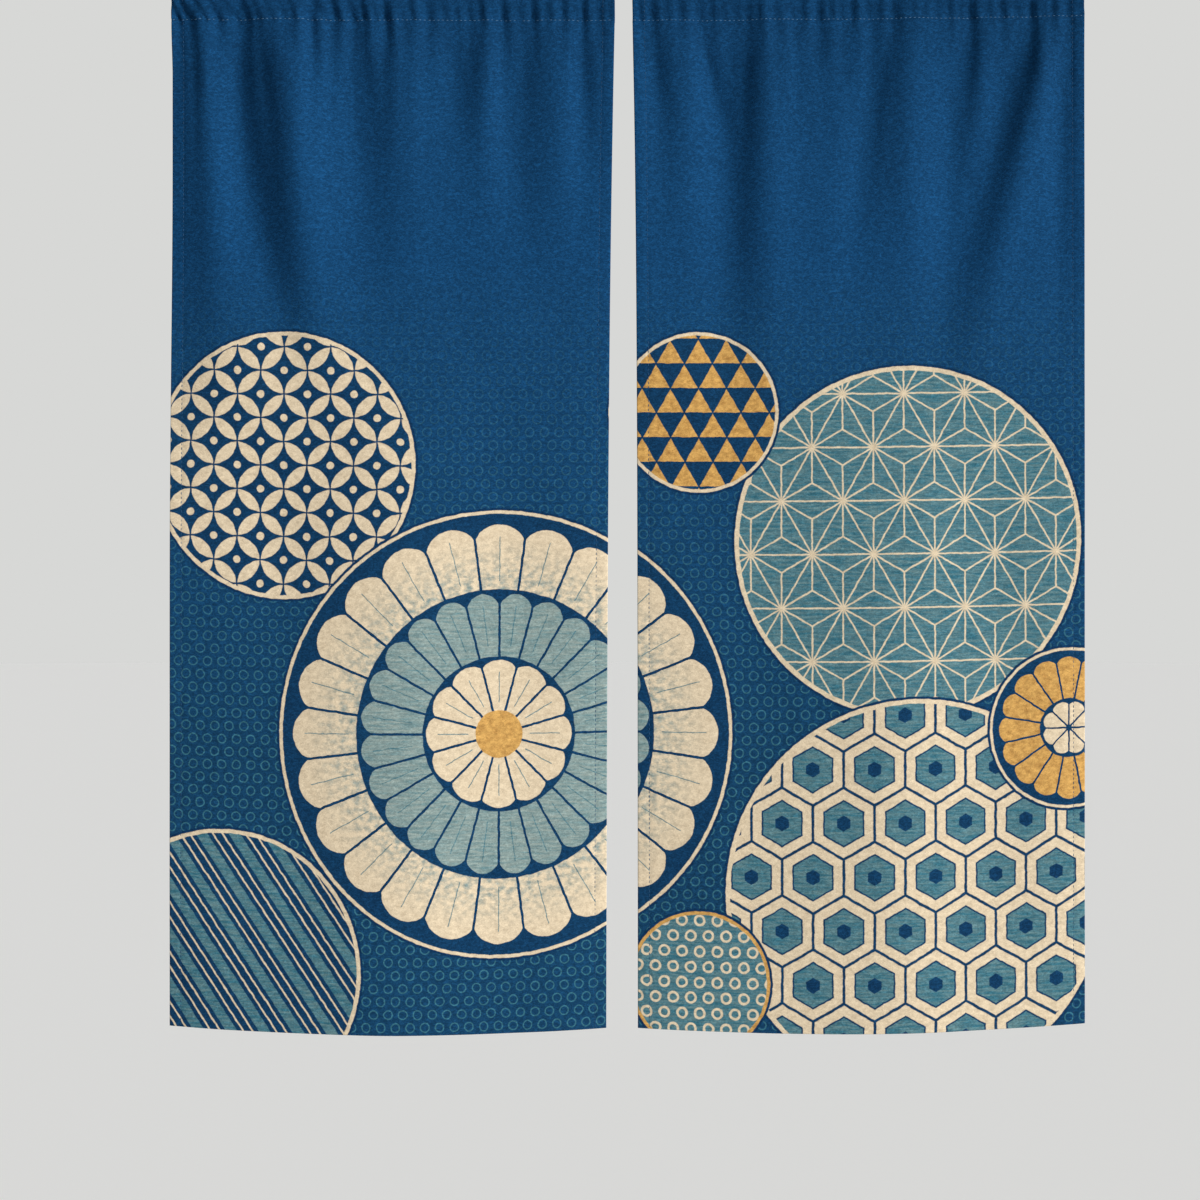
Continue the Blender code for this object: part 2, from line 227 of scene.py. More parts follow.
# The print
SOFT = 0.0006  # width of a printed edge
EDGE_WANDERS = 0.0016  # how far that edge strays at most, to both sides together
FINE_LINE = 0.0007  # half the width of its lines
BOLD_LINE = 0.0012
HEX = 0.0520  # width of a cell of the hemp leaf and the tortoiseshell
INNER_SIX, CORE_SIX = 0.32, 0.11  # the reach of a shell's two inner shapes, in such widths
RING = 0.0200  # radius of the linked rings
RING_EYE = 0.16  # radius of the eye between them, in their own radii
TRIANGLE = (0.0240, 0.0208)  # base and height
TRIANGLE_HALF = 0.47  # half of the printed base, in whole bases
SMALL_RINGS = (0.0125, 0.0036, 0.0005)  # of the ground: spacing, radius, half the width of a line
DOT_RINGS = (0.0150, 0.0040, 0.0010)
ACROSS_STRIPES = (0.82, 0.57, 0.0)
STRIPE_REPEAT = 0.0120  # from the middle of a wide stripe to the middle of the space after it
WIDE_STRIPE = 0.0042  # half its width
THIN_STRIPE = 0.0085  # place of the thin one after it
OUTLINE = 0.0022  # width of the dark edge round each roundel
FLOWER_FIELDS = (0.1215, 0.0650)  # radii of the dark fields under its two inner rings of petals
FLOWER_EYE = 0.0200
FLOWER_LINE = (0.1855, 0.0004)  # the thin line round it: radius, half its width
GOLD_FLOWER_FIELD = 0.0250  # the same in the gold flower
GROUND_TURNS = (-0.20, -0.62)  # heights between which the ground turns greener
BACK_FADES = 0.62  # how much of the print the back doesn't show

# Patterns of the yarn and the inks: (patches a metre across, up and out of the cloth), detail, distortion
SLUBS = ((300.0, 520.0, 0.0), 2.0, 1.0)
BETWEEN_SLUBS = ((190.0, 300.0, 0.0), 1.0, 1.6)
GRAIN = ((900.0, 1100.0, 0.0), 1.0)
PATCHES = ((14.0, 9.0, 0.0), 3.0)
STREAKS = ((60.0, 520.0, 0.0), 3.0, 0.4)
MOTTLE = ((170.0, 210.0, 0.0), 4.0)
EDGE_PATCHES = 160.0  # patches a metre of what makes the printed edges stray

# Where one ink gives way to the next: values of such a pattern, or radii of the flower
MOTTLED = (0.4, 0.7333)
TEAL_STREAKED, PALE_STREAKED = (0.3594, 0.6719), (0.2692, 0.6538)
PETALS_DARKEN = (0.1654, 0.1269)

# How strongly they show: for the yarn's shading (mean, strength), and then all of it together
SLUB_SHADE = (0.5105, 1.9)
SLUB_FLOOR = 0.43  # thinner places than this are no darker
GRAIN_SHADE = (0.5, 0.40)
LINE_SHADE = (0.353, 0.34)
LINE_REACH = 1 / 12  # how far from the middle of the noise a line between slubs still shows
PATCH_SHADE = (0.5, 0.16)
YARN_SHADES = 1.25
PALE_INK_HOLDS = 0.95  # how much less of it a white ink would show
SLUB_BUMP, GRAIN_BUMP = 0.7, 0.3
BUMP_HEIGHT = 0.00035
ROUGHNESS = (0.93, -0.10)  # of thin yarn, and what a slub adds
GLOSS = 0.06  # specular level

# Thread: its plies' slant in radians a metre, their painted shade in the grooves and painted light on the
# crests, their height, and the noise over them
PLY_SLANT = (7000.0, 2500.0, 9000.0)
PLY_PAINTED_SHADE = (0.15, 0.5)  # (swing, mean) from the painted shade in a groove to the painted light on a ply's crest
PLY_HEIGHT = 0.00004
GROOVE_PAINTED_SHADE = 0.4  # how dark the painted shade makes the colour in the grooves between the plies
THREAD_NOISE = ((900.0, 900.0, 900.0), 2.0)
THREAD_NOISE_SHADE = 0.6
THREAD_ROUGHNESS = 0.8

# Light, floor and camera
FLOOR_HEIGHT = -1.95
FLOOR_RINGS = (0.0, 2.0, 5.0, 12.0, 60.0)  # radii
FLOOR_SIDES = 64
SPECKLE = ((30.0, 30.0, 30.0),)
SPECKLE_HEIGHT = 0.0002
STAGE_ROUGHNESS = 0.9
FLAG_CORNERS = ((-1.10, -0.27, 0.085), (1.30, -0.60, 0.085), (1.30, 0.04, 0.085), (-1.10, 0.04, 0.085))
SUN_ANGLE = math.radians(25)
SUNS = (("front_light", 3.85, (-0.80, 0.60, -0.06)), ("back_light", 1.30, (0.35, -0.45, -0.82)))
SURROUND_COLOUR = (0.75, 0.78, 0.80)
SURROUND_STRENGTH = 0.43
CAMERA_LENS = 81.7
CAMERA_SENSOR = 36.0
CAMERA_PLACE = (-0.020, -2.300, -0.535)

# Colours, as linear red, green and blue
FLOOR_COLOUR = (0.90, 0.885, 0.86)
BOARD_COLOUR = (0.03, 0.03, 0.03)
SEEN_COLOUR = (0.681, 0.685, 0.673)
BLUE = (0.0062, 0.0560, 0.1510)
NAVY = (0.0040, 0.0330, 0.0930)
SEA_BLUE = (0.0070, 0.0500, 0.1180)
TEAL = (0.0400, 0.1500, 0.2000)
GREY_TEAL = (0.1300, 0.2350, 0.2500)
PALE_TEAL = (0.3000, 0.3700, 0.3400)
CREAM = (0.7600, 0.6200, 0.4300)
DULL_CREAM = (0.6200, 0.4950, 0.3350)
GOLD = (0.6760, 0.3830, 0.1110)
DULL_GOLD = (0.4300, 0.2200, 0.0600)
THREAD = (0.0900, 0.2200, 0.3900)
HEM_THREAD = (0.0260, 0.1050, 0.2300)


def smooth(t):
    """0 below 0, 1 above 1, and an even S between them."""
    t = np.clip(t, 0, 1)
    return t * t * (3 - 2 * t)


def width_of(panel):
    """The panel's width at the seam."""
    return panel.right - panel.left


def seam_height(x):
    """A parabola that sags towards the slit, on a slightly tilted line."""
    share = x / HALF_SPAN
    return SEAM_TILT * share - SEAM_SAG * (1 - share**2) - ROD_BELOW_TOP - SEAM_BELOW_ROD


def ripples(panel, across, height=0.0):
    """A sine along the seam whose phase runs early and late, and leans with height."""
    share = across / width_of(panel)
    turns = panel.gathers * share + panel.lean * (1 - share) ** 2 * height
    for early, waves, phase in UNEVEN_RIPPLES:
        turns = turns + early * np.sin(2 * math.pi * waves * share + phase)
    return np.sin(2 * math.pi * turns)


def ripple_depth(panel, across):
    """An even change along the panel."""
    first, last = panel.ripple
    return first + (last - first) * across / width_of(panel)


def fine_gathers(panel, across, height):
    """A second, finer sine along the seam, uneven in place and depth, which leans above the seam."""
    share = across / width_of(panel)
    turns = FINE_GATHERS * share + FINE_LEAN[panel.name] * (1 - share) * height
    for early, waves in FINE_UNEVEN:
        turns = turns + early * np.sin(2 * math.pi * waves * share)
    first, last = FINE_DEPTHS[panel.name]
    mean, swing, waves, phase = FINE_SWING
    depth = (first + (last - first) * share) * (mean + swing * np.sin(2 * math.pi * waves * share + phase))
    return depth * np.sin(2 * math.pi * turns)


def fold_depth(fold, across, down):
    """A Gaussian across the fold, about a middle line that drifts, times how it swells and fades down it."""
    run = np.clip((down - fold.begins) / (fold.ends - fold.begins), 0, 1)
    middle = fold.at + fold.drift * run**fold.bend
    width = fold.half_width * (1 + SPREAD * run)
    if fold.begins > 0:
        swell = smooth((down - fold.begins) / WAVE_SWELL)
    else:
        swell = AT_SEAM + (1 - AT_SEAM) * smooth(down / SWELL)
    fade = 1 - smooth((run - FADE_FROM) / (1 - FADE_FROM))
    return fold.depth * swell * fade * np.exp(-(((across - middle) / width) ** 2))


def soft_unevenness(panel, across, down):
    """Three crossed sines, each of which another sine pushes to and fro: two upright and one level."""
    start = SOFT_START[panel.name]
    length, wander, over = SOFT_LONG
    long = np.sin(across / length + wander * np.sin(down / over + start) + start)
    length, wander, over = SOFT_SHORT
    short = np.sin(across / length - down / SOFT_SLANT + wander * np.sin(down / over + 2 * start))
    length, wander, over = SOFT_LEVEL
    level = np.sin(down / length + wander * np.sin(across / over + start))
    return sum(height * wave for height, wave in zip(SOFT_HEIGHTS, (long, short, level)))


def cloth_depth(panel, across, down):
    """y of the cloth: its folds and creases, the ripples that die away below the seam, and the bulge."""
    y = sum(fold_depth(fold, across, down) for fold in (*panel.folds, *panel.creases))
    y = y - ripple_depth(panel, across) * ripples(panel, across) * np.exp(-down / RIPPLE_FADE)
    y = y - FINE_BELOW * fine_gathers(panel, across, 0.0) * np.exp(-down / FINE_FADES[1])
    share = across / width_of(panel)
    y = y - panel.bulge * smooth(down / DROP) * (1 - (2 * share - 1) ** 2)
    return y + soft_unevenness(panel, across, down) * smooth(down / SOFT_SWELL)


def below_seam(panel, across, down):
    """Points of the hanging part: x between the edges, y from the folds, z straight down to a curved foot.

    The edges start at the panel's own and open by 1 - exp(-down / reach).
    """
    opened = 1 - np.exp(-down / panel.reach)
    left = panel.left + panel.left_opens * opened
    right = panel.right + panel.right_opens * opened
    share = across / width_of(panel)
    x = left + (right - left) * share
    sag = FOOT_CURVE * (down / DROP) ** 2 * (1 - (2 * share - 1) ** 2)
    z = seam_height(x) - down * (1 - 0.5 * FOOT_CURVE / DROP) - sag
    y = cloth_depth(panel, across, down) - CLOTH / 2
    return x, y, z


def pocket_path(run, below):
    """Straight up from the seam to the rod, over it as an arc, and straight down behind.

    run goes from 0 at the seam in front to 1 at the seam behind. It gives y and the height over the seam,
    and the direction out of the pocket.
    """
    radius = ROD_RADIUS + CLOTH / 2
    lean = np.arcsin(radius / below)
    straight = np.sqrt(below**2 - radius**2)
    arc = radius * (math.pi + 2 * lean)
    length = run * (2 * straight + arc)
    turn = -lean + np.clip((length - straight) / arc, 0, 1) * (math.pi + 2 * lean)
    out_y, out_height = -np.cos(turn), np.sin(turn)
    short_of_rod = np.where(length < straight, straight - length, np.maximum(length - straight - arc, 0))
    along_y = np.where(length < straight, 1, -1) * np.sin(lean)
    y = radius * out_y + short_of_rod * along_y
    height = below + radius * out_height - short_of_rod * np.cos(lean)
    return y, height, out_y, out_height


def pocket_length(below):
    """The same path's length: two straight runs and the arc between them."""
    radius = ROD_RADIUS + CLOTH / 2
    return 2 * np.sqrt(below**2 - radius**2) + radius * (math.pi + 2 * np.arcsin(radius / below))


def cloth_top(panel, across):
    """Length of the cloth above the seam, round the pocket to its own end behind the seam."""
    return pocket_length(-ROD_BELOW_TOP - seam_height(panel.left + across))


def side_hemmed(panel, across):
    """1 on the side hems, stepping down to 0 inside them."""
    from_side = np.minimum(across, width_of(panel) - across)
    return 1 - smooth((from_side - SIDE_HEM) / HEM_STEP)


def above_seam(panel, across, up):
    """Points of the pocket: its path, pressed flat near the seam, and pushed out by the ripples."""
    x = panel.left + across
    base = seam_height(x)
    below = -ROD_BELOW_TOP - base
    run = np.clip(up / pocket_length(below), 0, 1)
    y, height, out_y, out_height = pocket_path(run, below)
    wave = ripples(panel, across, height)
    fullness = np.where(y > 0, 1 - wave, 1 + wave) / 2
    over_rod = smooth((height - RIPPLE_SWELL) / OVER_ROD)
    slack = smooth(height / RIPPLE_SWELL) * (1 - OVER_ROD_FADE * over_rod)
    swell = POCKET_FULLNESS * ripple_depth(panel, across) * slack * fullness
    fine = smooth(height / FINE_RISE) * np.exp(-height / FINE_FADES[0])
    swell = swell + fine_gathers(panel, across, height) * fine
    carried = cloth_depth(panel, across, 0.0 * across) * (1 - smooth(height / below))
    parted = smooth((height - SEAM_FLAT) / SEAM_OPENS)
    turned_edges = 2 * HEM_FOLD * side_hemmed(panel, across) * smooth(2 * run - 1) * (1 - parted)
    layer = turned_edges - CLOTH / 2 * np.cos(math.pi * run)
    y = y * parted + layer + carried + out_y * swell
    x = x + DRAWN_TOGETHER * parted * (min(panel.left, panel.right, key=abs) - x)
    return x, y, base + height + out_height * swell


def hang(panel, across, down):
    """The middle surface at any place on the cloth. down is measured from the seam, negative above it."""
    below = np.stack(below_seam(panel, across, np.maximum(down, 0)), axis=-1)
    above = np.stack(above_seam(panel, across, np.maximum(-down, 0)), axis=-1)
    return np.where((down > 0)[..., None], below, above)


def hang_with_normals(panel, across, down, step=0.0002):
    """The middle surface, and its normals out of the printed face, from the slopes over a small step."""
    right = hang(panel, across + step, down) - hang(panel, across - step, down)
    under = hang(panel, across, down + step) - hang(panel, across, down - step)
    normals = np.cross(under, right)
    normals /= np.linalg.norm(normals, axis=-1, keepdims=True)
    return hang(panel, across, down), normals


def drawn_in(panel, across, down):
    """How far the stitching draws the cloth in: Gaussian troughs along its lines, with a beat a stitch."""
    beat = 1 - STITCH_BEAT + STITCH_BEAT * np.cos(2 * math.pi * across / STITCH_PITCH)
    pocket = beat * np.exp(-(((down + POCKET_LINE) / DRAWN_WIDTH) ** 2))
    beat = 1 - STITCH_BEAT + STITCH_BEAT * np.cos(2 * math.pi * down / STITCH_PITCH)
    from_edge = np.minimum(across, width_of(panel) - across)
    side = beat * np.exp(-(((from_edge - SIDE_LINE) / DRAWN_WIDTH) ** 2))
    return DRAWN_IN * np.maximum(pocket, SIDE_PULL * side)


def edge_round(distance):
    """A folded edge: a quarter circle in height, from 0 at the edge to 1 within EDGE_ROUND."""
    t = np.clip(distance / EDGE_ROUND, 0, 1)
    return np.sqrt(1 - (1 - t) ** 2)


def cloth_faces(panel, across, down):
    """Heights of the printed face and of the back over the middle surface, along its normals.

    Half the cloth each way, with the turned edges behind, both drawn to their own middle at the rims.
    """
    from_side = np.minimum(across, width_of(panel) - across)
    from_foot = DROP - down
    from_top = down + cloth_top(panel, across)
    hemmed = np.maximum(side_hemmed(panel, across), 1 - smooth((from_foot - FOOT_HEM) / HEM_STEP))
    rounded = edge_round(from_side) * edge_round(from_foot) * edge_round(from_top)
    back = -CLOTH / 2 - HEM_FOLD * hemmed
    middle = (CLOTH / 2 + back) / 2
    pull = drawn_in(panel, across, down) * rounded
    outer = middle + (CLOTH / 2 - middle) * rounded - pull
    inner = middle + (back - middle) * rounded + PULL_BEHIND * pull * hemmed
    return outer, inner


def spaced(*stretches):
    """Places along a line, from (start, stop, step) stretches, each divided evenly."""
    parts = [
        np.linspace(start, stop, max(1, round((stop - start) / step)), endpoint=False)
        for start, stop, step in stretches
    ]
    return np.concatenate([*parts, [stretches[-1][1]]])


def grid_places(panel):
    """Columns and rows of the cloth: close at the edges, hems and seam, and wider where it hangs flat."""
    width = width_of(panel)
    rim = EDGE_ROUND * np.array(RIM_SHARES)
    by_stitches = SIDE_LINE - 0.002
    hem = spaced((EDGE_ROUND, by_stitches, 0.0020), (by_stitches, SIDE_HEM + 0.001, 0.0007))
    side = np.concatenate([rim, hem])
    middle = spaced((side[-1], width - side[-1], 0.0026))[1:-1]
    columns = np.concatenate([side, middle, width - side[::-1]])
    top = pocket_length(SEAM_BELOW_ROD)
    over_seam, under_seam = -0.006, 0.004
    gathers_end, folds_end = 0.120, 0.300
    hem_step = DROP - FOOT_HEM - HEM_STEP
    rows = spaced(
        (EDGE_ROUND - top, over_seam, 0.0032),
        (over_seam, under_seam, 0.0009),
        (under_seam, gathers_end, 0.0030),
        (gathers_end, folds_end, 0.0045),
        (folds_end, hem_step, 0.0080),
        (hem_step, hem_step + 2 * HEM_STEP, 0.0005),
        (hem_step + 2 * HEM_STEP, DROP - EDGE_ROUND, 0.0030),
    )
    return columns, np.concatenate([rim - top, rows, DROP - rim[::-1]])


def grid_quads(shape, start=0, turned=False):
    """The four corners of each face of a grid of points, numbered from start row by row."""
    index = start + np.arange(shape[0] * shape[1]).reshape(shape)
    corners = (index[:-1, :-1], index[1:, :-1], index[1:, 1:], index[:-1, 1:])
    quads = np.stack(corners, axis=-1).reshape(-1, 4)
    return quads[:, ::-1] if turned else quads


def new_piece(name, points, faces, material):
    """A smooth mesh from arrays of points and four-cornered faces, in the scene and on the root body."""
    mesh = bpy.data.meshes.new(name)
    mesh.from_pydata(points.tolist(), [], faces.tolist())
    mesh.materials.append(material)
    mesh.shade_smooth()
    piece = bpy.data.objects.new(name, mesh)
    bpy.context.scene.collection.objects.link(piece)
    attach(piece, "root")
    return piece


def make_cloth(panel, material):
    """One panel as cut from one cloth: foot, folds, seam, and the pocket round to its own end behind.

    The printed face and the back are two grids over the same columns and rows, which share their rims.
    """
    columns, rows = grid_places(panel)
    across, down = np.meshgrid(columns, rows)
    # Above the seam the rows are stretched to the pocket's own length, which varies along the seam.
    down = np.where(down < 0, down * cloth_top(panel, across) / pocket_length(SEAM_BELOW_ROD), down)
    surface, normals = hang_with_normals(panel, across, down)
    layers = [surface + normals * height[..., None] for height in cloth_faces(panel, across, down)]
    points = np.concatenate([layer.reshape(-1, 3) for layer in layers])
    faces = np.concatenate([grid_quads(across.shape), grid_quads(across.shape, across.size, True)])
    rim = np.zeros(across.shape, bool)
    rim[0] = rim[-1] = rim[:, 0] = rim[:, -1] = True
    shared = np.arange(2 * across.size)
    shared[across.size :][rim.ravel()] = np.flatnonzero(rim)
    kept, number = np.unique(shared, return_inverse=True)
    piece = new_piece("cloth_" + panel.name, points[kept], number[faces], material)

    # The flat cloth's own metres: u along the seam in the shared frame, v up from the seam
    u = np.tile((panel.left + across).ravel(), 2)[kept]
    v = np.tile(-down.ravel(), 2)[kept]
    flat = piece.data.uv_layers.new(name="flat")
    flat.uv.foreach_set("vector", np.stack([u, v], axis=1)[number[faces].ravel()].ravel())
    back = piece.data.attributes.new("back", "FLOAT", "POINT")
    back.data.foreach_set("value", np.repeat([0.0, 1.0], across.size)[kept])
    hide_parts("panel_" + panel.name, "pocket_" + panel.name)
    return piece


def pocket_lines(panel):
    """The pocket's stitches: (across, down, half length across, half length down, face) of each row.

    Each is the middle of a stitch and which way it runs. Face 1 is the printed side and -1 the back. The
    pocket is sewn through both its layers, whose printed sides look out, and so shows twice.
    """
    half = STITCH_LENGTH / 2
    across = np.arange(FIRST_STITCH, width_of(panel) - half, STITCH_PITCH)
    behind = POCKET_LINE - cloth_top(panel, across)
    return [(across, np.full_like(across, -POCKET_LINE), half, 0, 1), (across, behind, half, 0, 1)]


def hem_lines(panel):
    """The side hems' stitches, in the same columns: the whole printed side, and the back below the seam."""
    half = STITCH_LENGTH / 2
    from_end, from_seam = HEM_STITCH_ENDS
    whole = np.arange(from_end - pocket_length(SEAM_BELOW_ROD), DROP - half, STITCH_PITCH)
    hanging = whole[whole > from_seam]
    lines = []
    for place in (SIDE_LINE, width_of(panel) - SIDE_LINE):
        lines.append((np.full_like(whole, place), whole, 0, half, 1))
        lines.append((np.full_like(hanging, place), hanging, 0, half, -1))
    return lines


def make_stitching(name, panel, lines, thread_radius, material):
    """All the stitches of some sewn lines in one mesh.

    A stitch is rings of points that follow the cloth from one of its ends to the other. Their radius is
    the root of 1 - t^4, with t from -1 to 1 along it, and both ends sink into the cloth by t^4. No two are
    pulled equally tight, so some lie deeper than others.
    """
    chance = np.random.default_rng(5)
    t = np.cos(np.linspace(math.pi, 0, RINGS_A_STITCH))
    radius = thread_radius * (np.sqrt(np.maximum(1 - t**4, 0)) + BLUNT_END)
    turn = np.linspace(0, 2 * math.pi, RING_SIDES, endpoint=False)
    points, faces, start = [], [], 0
    for across, down, half_across, half_down, face in lines:
        s = across[:, None] + half_across * t
        d = down[:, None] + half_down * t
        surface, normals = hang_with_normals(panel, s, d)
        outer, inner = cloth_faces(panel, s, d)
        sunk = TIGHTEST_SINKS * chance.random((across.size, 1)) ** TIGHTNESS_POWER
        stands = thread_radius * (STITCH_STANDS - sunk - ENDS_SINK * t**4)
        height = (outer if face > 0 else inner) + face * stands
        middle = surface + normals * height[..., None]
        forward = np.gradient(middle, axis=1)
        forward /= np.linalg.norm(forward, axis=-1, keepdims=True)
        aside = np.cross(normals, forward)
        ring = middle[:, :, None] + radius[:, None, None] * (
            aside[:, :, None] * np.cos(turn)[:, None] + normals[:, :, None] * np.sin(turn)[:, None]
        )
        shape = (across.size, RINGS_A_STITCH, RING_SIDES)
        index = start + np.arange(math.prod(shape)).reshape(shape)
        here, onward = index[:, :-1], index[:, 1:]
        wall = np.stack([here, onward, np.roll(onward, -1, 2), np.roll(here, -1, 2)], axis=-1)
        first, last = index[:, 0], index[:, -1]
        caps = np.concatenate([first[:, :4], first[:, [0, 3, 4, 5]], last[:, 3::-1], last[:, [5, 4, 3, 0]]])
        points.append(ring.reshape(-1, 3))
        faces += [wall.reshape(-1, 4), caps]
        start += index.size
    piece = new_piece(name, np.concatenate(points), np.concatenate(faces), material)
    return piece


class Value:
    """Something a material works out at each place: a node's output socket.

    Python's operators add Math nodes, so they are for numbers. Colours go through mixed() and vectors
    through vector().
    """

    def __init__(self, shading, socket):
        self.shading = shading
        self.socket = socket

    def __add__(self, other):
        return maths("ADD", self, other)

    def __radd__(self, other):
        return maths("ADD", other, self)

    def __sub__(self, other):
        return maths("SUBTRACT", self, other)

    def __rsub__(self, other):
        return maths("SUBTRACT", other, self)

    def __mul__(self, other):
        return maths("MULTIPLY", self, other)

    def __rmul__(self, other):
        return maths("MULTIPLY", other, self)

    def __abs__(self):
        return maths("ABSOLUTE", self)


class Shading:
    """The nodes of a new material of some name, or of a world."""

    def __init__(self, owner):
        self.owner = bpy.data.materials.new(owner) if isinstance(owner, str) else owner
        self.owner.use_nodes = True
        self.tree = self.owner.node_tree
        self.tree.nodes.clear()

    def add(self, kind, settings, sockets, output=0):
        """A new node: its settings first, then the values or links of its sockets, by name or number."""
        node = self.tree.nodes.new("ShaderNode" + kind)
        for name, value in settings.items():
            setattr(node, name, value)
        for key, value in sockets.items():
            if isinstance(value, Value):
                self.tree.links.new(value.socket, node.inputs[key])
            elif isinstance(value, tuple) and len(value) == 3 and node.inputs[key].type == "RGBA":
                node.inputs[key].default_value = (*value, 1)
            else:
                node.inputs[key].default_value = value
        return Value(self, node.outputs[output])

    def finish(self, colour, roughness, bump, bump_distance, **constants):
        """The shader and the output, with the bump's height in units of bump_distance."""
        normal = self.add("Bump", {}, {"Strength": 1.0, "Distance": bump_distance, "Height": bump})
        sockets = {"Base Color": colour, "Roughness": roughness, "Normal": normal, **constants}
        shader = self.add("BsdfPrincipled", {}, sockets)
        self.add_output(shader, "Material")
        return self.owner

    def add_output(self, shader, kind):
        node = self.tree.nodes.new("ShaderNodeOutput" + kind)
        self.tree.links.new(shader.socket, node.inputs["Surface"])


def shading_of(terms):
    """The material that the first worked-out term belongs to."""
    return next(term.shading for term in terms if isinstance(term, Value))


def maths(operation, *terms, clamp=False):
    """One Math node on numbers."""
    settings = {"operation": operation, "use_clamp": clamp}
    return shading_of(terms).add("Math", settings, dict(enumerate(terms)))


def vector(operation, *terms):
    """One Vector Math node. A length or a dot product is a number, and the rest are vectors."""
    sockets = {0: terms[0], 3: terms[1]} if operation == "SCALE" else dict(enumerate(terms))
    output = 1 if operation in ("LENGTH", "DOT_PRODUCT") else 0
    return shading_of(terms).add("VectorMath", {"operation": operation}, sockets, output)


def parts(place):
    """The first two numbers of a vector."""
    first = place.shading.add("SeparateXYZ", {}, {0: place})
    return first, Value(place.shading, first.socket.node.outputs[1])


def mixed(under, over, mask):
    """The colour under, painted with the colour over where mask is 1."""
    return shading_of((under, over, mask)).add("Mix", {"data_type": "RGBA"}, {0: mask, 6: under, 7: over}, 2)


def noise(shading, place, stretch, detail=2.0, distortion=0.0):
    """Noise of about one patch a metre, at the place times stretch."""
    sockets = {"Vector": vector("MULTIPLY", place, stretch), "Scale": 1.0, "Detail": detail}
    sockets["Distortion"] = distortion
    return shading.add("TexNoise", {}, sockets)


def ramp(value, start, end):
    """0 where the value is start or short of it, 1 where it is end or past it, and even between the two."""
    return maths("MULTIPLY_ADD", value, 1 / (end - start), -start / (end - start), clamp=True)


def about(value, mean, strength):
    """Strength times how far the value is from its mean."""
    return maths("MULTIPLY_ADD", value, strength, -mean * strength)


def covered(distance, reach=0.0):
    """1 where distance is less than reach, fading over SOFT."""
    return ramp(distance, reach + SOFT / 2, reach - SOFT / 2)


def beyond(distance, reach=0.0):
    """1 where distance is more than reach, fading over SOFT."""
    return ramp(distance, reach - SOFT / 2, reach + SOFT / 2)


def line(distance, half_width):
    """1 within half_width of where distance is 0."""
    return covered(abs(distance), half_width)


def either(*masks):
    """1 where any of the masks is."""
    joined = masks[0]
    for mask in masks[1:]:
        joined = maths("MAXIMUM", joined, mask)
    return joined


def hex_cell(place, width):
    """The offset from the middle of the nearest six-sided cell, of a lattice of cells this wide.

    The middles are two lattices of boxes, half a box apart, and the nearer of the two is taken.
    """
    half = (width / 2, width * math.sqrt(3) / 2, 0.0)
    minus = (-half[0], -half[1], 0.0)
    one = vector("WRAP", place, half, minus)
    other = vector("WRAP", vector("SUBTRACT", place, half), half, minus)
    nearer = maths("LESS_THAN", vector("LENGTH", one), vector("LENGTH", other))
    return place.shading.add("Mix", {"data_type": "VECTOR"}, {0: nearer, 4: other, 5: one}, 1)


def hemp_leaf(cell):
    """Twelve straight lines out of each cell's middle, a twelfth of a turn apart: r times a folded sine."""
    x, y = parts(cell)
    folded = maths("PINGPONG", maths("ARCTAN2", y, x), math.pi / 12)
    return covered(maths("SINE", folded) * vector("LENGTH", cell), FINE_LINE)


def tortoiseshell(cell):
    """Six-sided cells: the lines where two meet and round a smaller six sides, and what those enclose."""
    folded = vector("ABSOLUTE", cell)
    slanted = vector("DOT_PRODUCT", folded, (0.5, math.sqrt(3) / 2, 0.0))
    reach = maths("MAXIMUM", parts(folded)[0], slanted)
    joint = beyond(reach, HEX / 2 - BOLD_LINE)
    lines = either(joint, line(reach - INNER_SIX * HEX, FINE_LINE), covered(reach, CORE_SIX * HEX))
    return lines, covered(reach, INNER_SIX * HEX)


def linked_rings(place):
    """Rings that overlap by a quarter: the pointed leaves that two of them share, and an eye between."""
    corner = (RING, RING, 0.0)
    folded = vector("ABSOLUTE", vector("WRAP", place, corner, (-RING, -RING, 0.0)))
    near = vector("LENGTH", folded)
    far = vector("LENGTH", vector("SUBTRACT", folded, corner))
    leaves = covered(maths("MAXIMUM", near, far), RING - FINE_LINE)
    return either(leaves, covered(maths("MINIMUM", near, far), RING_EYE * RING))


def small_rings(place, spacing, radius, half_width):
    """Single rings, one in the middle of each cell of a lattice of six-sided cells."""
    return line(vector("LENGTH", hex_cell(place, spacing)) - radius, half_width)


def scales(place):
    """Rows of triangles that stand on their bases, each row half a base along from the one below."""
    width, height = TRIANGLE
    x, y = parts(vector("MULTIPLY", place, (1 / width, 1 / height, 0.0)))
    row = maths("FLOOR", y)
    aside = maths("PINGPONG", maths("MULTIPLY_ADD", row, 0.5, x), 0.5)
    edge = maths("MULTIPLY_ADD", y - row, 0.5, aside)
    fade = SOFT / width / 2
    return ramp(edge, TRIANGLE_HALF + fade, TRIANGLE_HALF - fade)


def petals(turn, distance, count, radius, scallop, gap, shifted=False):
    """A ring of petals: r under radius times (1 - scallop + scallop times the root of |cos|), but for gaps.

    The cosine is that of count / 2 times the turn, or the sine where the ring is shifted by half a petal.
    """
    wave = abs(maths("SINE" if shifted else "COSINE", turn * (count / 2)))
    rim = maths("MULTIPLY_ADD", maths("SQRT", wave), radius * scallop, radius * (1 - scallop))
    return covered(distance - rim) * beyond(distance * wave, gap * count / 2)


